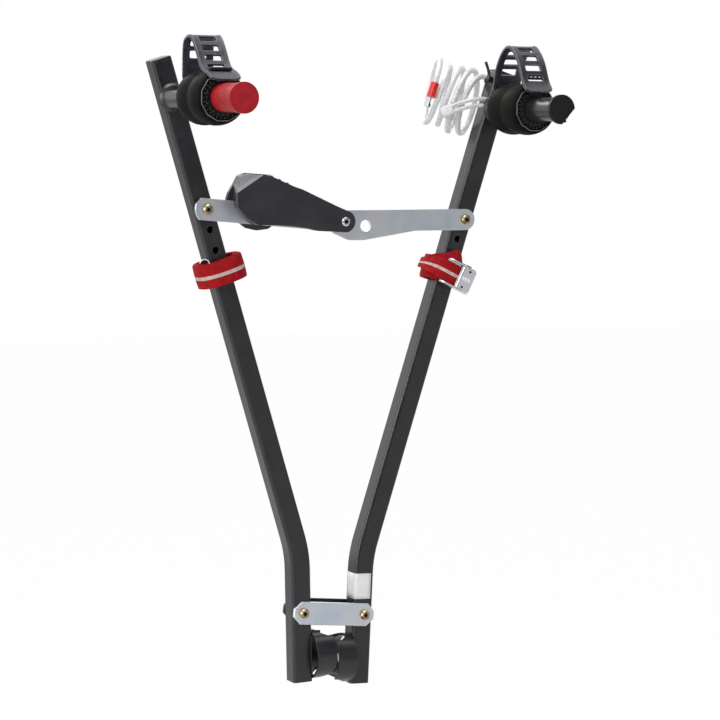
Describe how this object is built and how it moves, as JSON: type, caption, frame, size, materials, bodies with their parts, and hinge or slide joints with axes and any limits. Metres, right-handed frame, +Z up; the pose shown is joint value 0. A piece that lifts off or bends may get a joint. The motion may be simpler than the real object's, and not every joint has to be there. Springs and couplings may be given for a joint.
{
  "type": "tow ball bike carrier",
  "caption": "Tow ball bike carrier: hinged uprights clamp round the ball by an over-centre lever and hold bicycle frames in rubber cradles under ladder straps.",
  "frame": {"origin": "centre of the tow ball that the carrier is clamped on", "axes": "+Z up, -Y towards the side that the bicycles hang on, +X to the right seen from that side"},
  "size_m": [0.4878, 0.3184, 0.7744],
  "materials": {
    "arm_paint": "satin black powder coat",
    "zinc_plate": "blue-white zinc plate",
    "yellow_zinc": "yellow zinc plate",
    "bright_steel": "bright steel",
    "black_plastic": "moulded, fine grain",
    "black_rubber": "soft, slightly shiny",
    "red_rubber": "soft, matte",
    "red_plastic": "glossy",
    "red_webbing": "woven",
    "cable_sheath": "smoky clear sheath"
  },
  "bodies": {
    "clamp_plates": {"front_pivot_plate": "zinc_plate", "back_pivot_plate": "arm_paint", "pivot_bolts": "yellow_zinc", "pivot_nuts": "yellow_zinc", "pivot_sleeves": "zinc_plate"},
    "left_arm": {"left_upright": "arm_paint", "left_top_plug": "black_plastic", "left_support_arm": "arm_paint", "left_grip": "red_rubber", "left_ball_cup": "arm_paint", "left_link_bolt": "yellow_zinc", "left_link_nut": "yellow_zinc", "left_link_spacer": "zinc_plate", "left_webbing": "red_webbing"},
    "right_arm": {"right_upright": "arm_paint", "right_top_plug": "black_plastic", "right_support_arm": "arm_paint", "right_end_cap": "black_plastic", "right_ball_cup": "arm_paint", "right_link_bolt": "yellow_zinc", "right_link_nut": "yellow_zinc", "right_link_washer": "zinc_plate", "right_webbing": "red_webbing", "buckle_frame": "zinc_plate", "buckle_pin": "zinc_plate", "lock_cable": "cable_sheath", "cable_end_sleeve": "red_plastic", "cable_clasp": "bright_steel", "cable_ferrule": "black_plastic", "lanyard_strand_1": "cable_sheath", "lanyard_strand_2": "cable_sheath", "lanyard_clip": "cable_sheath", "cable_tie": "black_plastic"},
    "left_link_lever": {"left_link": "zinc_plate", "lever_handle": "black_plastic", "handle_screws": "bright_steel", "knee_rivet_front": "bright_steel"},
    "right_link_bar": {"right_link": "zinc_plate", "knee_rivet_back": "bright_steel"},
    "left_core": {"left_cradle_core": "black_plastic"},
    "right_core": {"right_cradle_core": "black_plastic"},
    "left_cradle_body": {"left_cradle": "black_rubber", "left_strap": "black_rubber"},
    "right_cradle_body": {"right_cradle": "black_rubber", "right_strap": "black_rubber"},
    "cam": {"buckle_cam": "zinc_plate"}
  },
  "joints": [
    {"name": "left_arm_fold", "type": "hinge", "parent": "clamp_plates", "child": "left_arm", "pos_m": [-0.0405, 0, 0.0579], "axis": [0, 1, 0], "range_deg": [0, 12.5]},
    {"name": "right_arm_fold", "type": "hinge", "parent": "clamp_plates", "child": "right_arm", "pos_m": [0.0405, 0, 0.0501], "axis": [0, -1, 0], "range_deg": [0, 12.5]},
    {"name": "left_link_fold", "type": "hinge", "parent": "left_arm", "child": "left_link_lever", "pos_m": [-0.17147, -0.02, 0.5418], "axis": [0, -1, 0], "range_deg": [0, 76.8]},
    {"name": "right_link_fold", "type": "hinge", "parent": "right_arm", "child": "right_link_bar", "pos_m": [0.16954, -0.016, 0.52779], "axis": [0, 1, 0], "range_deg": [0, 89.7]},
    {"name": "left_core_slide", "type": "slide", "parent": "left_arm", "child": "left_core", "axis": [0, 1, 0], "range_m": [0, 0.065]},
    {"name": "right_core_slide", "type": "slide", "parent": "right_arm", "child": "right_core", "axis": [0, 1, 0], "range_m": [-0.04, 0.012]},
    {"name": "left_cradle_turn", "type": "hinge", "parent": "left_core", "child": "left_cradle_body", "pos_m": [-0.21141, -0.124, 0.67002], "axis": [0, -1, 0], "range_deg": [-30, 30]},
    {"name": "right_cradle_turn", "type": "hinge", "parent": "right_core", "child": "right_cradle_body", "pos_m": [0.21141, -0.076, 0.66222], "axis": [0, -1, 0], "range_deg": [-30, 10]},
    {"name": "buckle_cam_lift", "type": "hinge", "parent": "right_arm", "child": "cam", "pos_m": [0.15501, -0.03505, 0.45875], "axis": [-0.4384, 0, -0.8988], "range_deg": [0, 80], "stiffness_Nm_per_rad": 0.02, "springref_deg": -17.19}
  ],
  "couplings": [
    {"joint": "right_arm_fold", "follows": "left_arm_fold", "ratio": 1},
    {"joint": "left_link_fold", "follows": "left_arm_fold", "ratio": 6.1395},
    {"joint": "right_link_fold", "follows": "left_arm_fold", "ratio": 7.1696}
  ]
}
